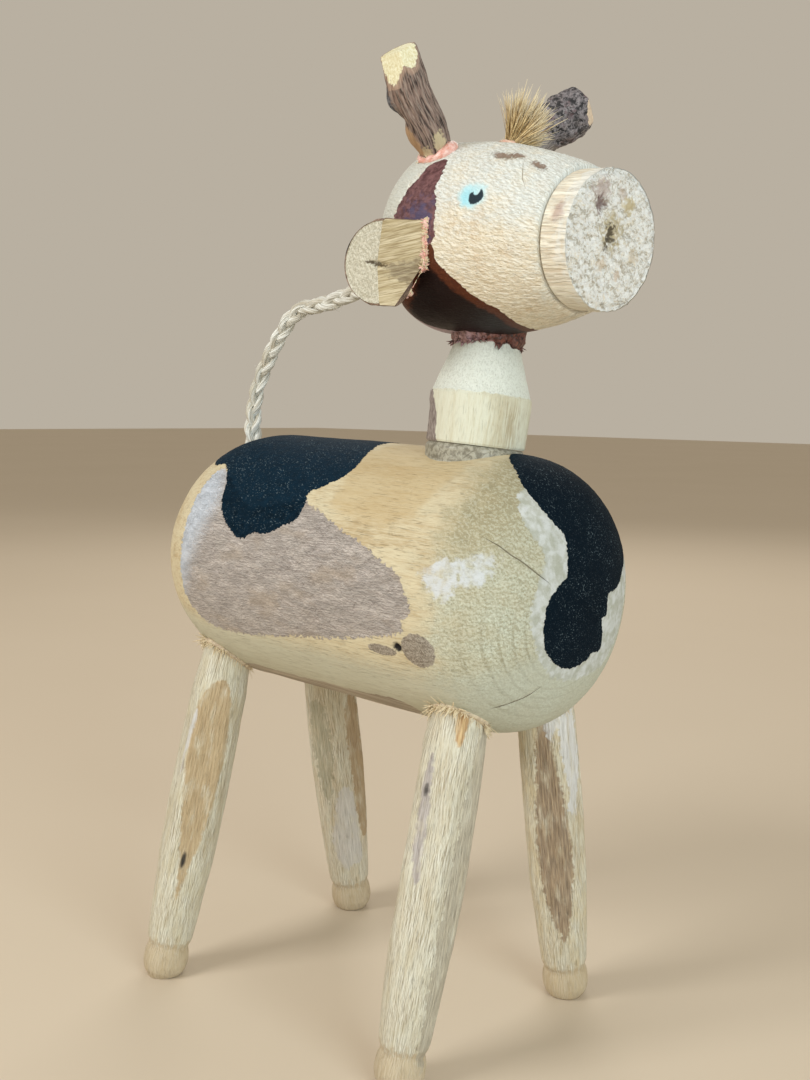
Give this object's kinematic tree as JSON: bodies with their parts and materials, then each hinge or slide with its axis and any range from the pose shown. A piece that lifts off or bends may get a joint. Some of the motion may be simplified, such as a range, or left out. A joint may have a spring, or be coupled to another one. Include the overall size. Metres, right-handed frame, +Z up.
{
  "type": "carved wooden animal figure",
  "caption": "Standing cow-like figure of turned wood: log body on splayed legs, short neck, round head with flat snout, twig horns, branch ears, fibre forelock and rope tail.",
  "frame": {"origin": "on the floor, below the middle of the figure's box measured without the tail rope and its knot", "axes": "+X the way the animal faces, +Y its left side, +Z up; the feet stand on Z = 0"},
  "size_m": [0.1438, 0.0832, 0.248],
  "materials": {
    "body_wood": "bare turned softwood with painted patches",
    "leg_wood": "bare turned branch wood, traces of paint",
    "neck_wood": "bare turned wood",
    "head_wood": "bare turned wood with painted patches",
    "snout_wood": "turned side, rough sawn end grain",
    "dowel_wood": "plain dowel, hidden",
    "twig_bark": "bark, pared pale at tip and foot",
    "charred_bark": "dark knotty bark",
    "ear_wood": "split wood with bark behind",
    "pink_glue": "dried pink glue, satin",
    "dark_glue": "dark red glue with fibre",
    "seat_glue": "clear dried glue over wood, satin",
    "leg_glue": "dried glue with wood fibre",
    "sisal": "loose plant fibre",
    "rope": "loosely plaited plant fibre"
  },
  "bodies": {
    "root": {"body": "body_wood", "front_right_leg": "leg_wood", "front_left_leg": "leg_wood", "rear_right_leg": "leg_wood", "rear_left_leg": "leg_wood", "front_right_leg_glue": "leg_glue", "front_left_leg_glue": "leg_glue", "rear_right_leg_glue": "leg_glue", "rear_left_leg_glue": "leg_glue", "neck": "neck_wood", "neck_dowel": "dowel_wood", "neck_glue": "seat_glue", "head": "head_wood", "head_dowel": "dowel_wood", "head_glue": "dark_glue", "snout": "snout_wood", "right_horn": "twig_bark", "left_horn": "charred_bark", "right_horn_glue": "pink_glue", "left_horn_glue": "pink_glue", "right_ear": "ear_wood", "left_ear": "ear_wood", "right_ear_glue": "pink_glue", "left_ear_glue": "pink_glue", "forelock": "sisal", "forelock_glue": "pink_glue", "tail_rope": "rope", "tail_knot": "rope", "tail_glue": "leg_glue"}
  },
  "joints": []
}
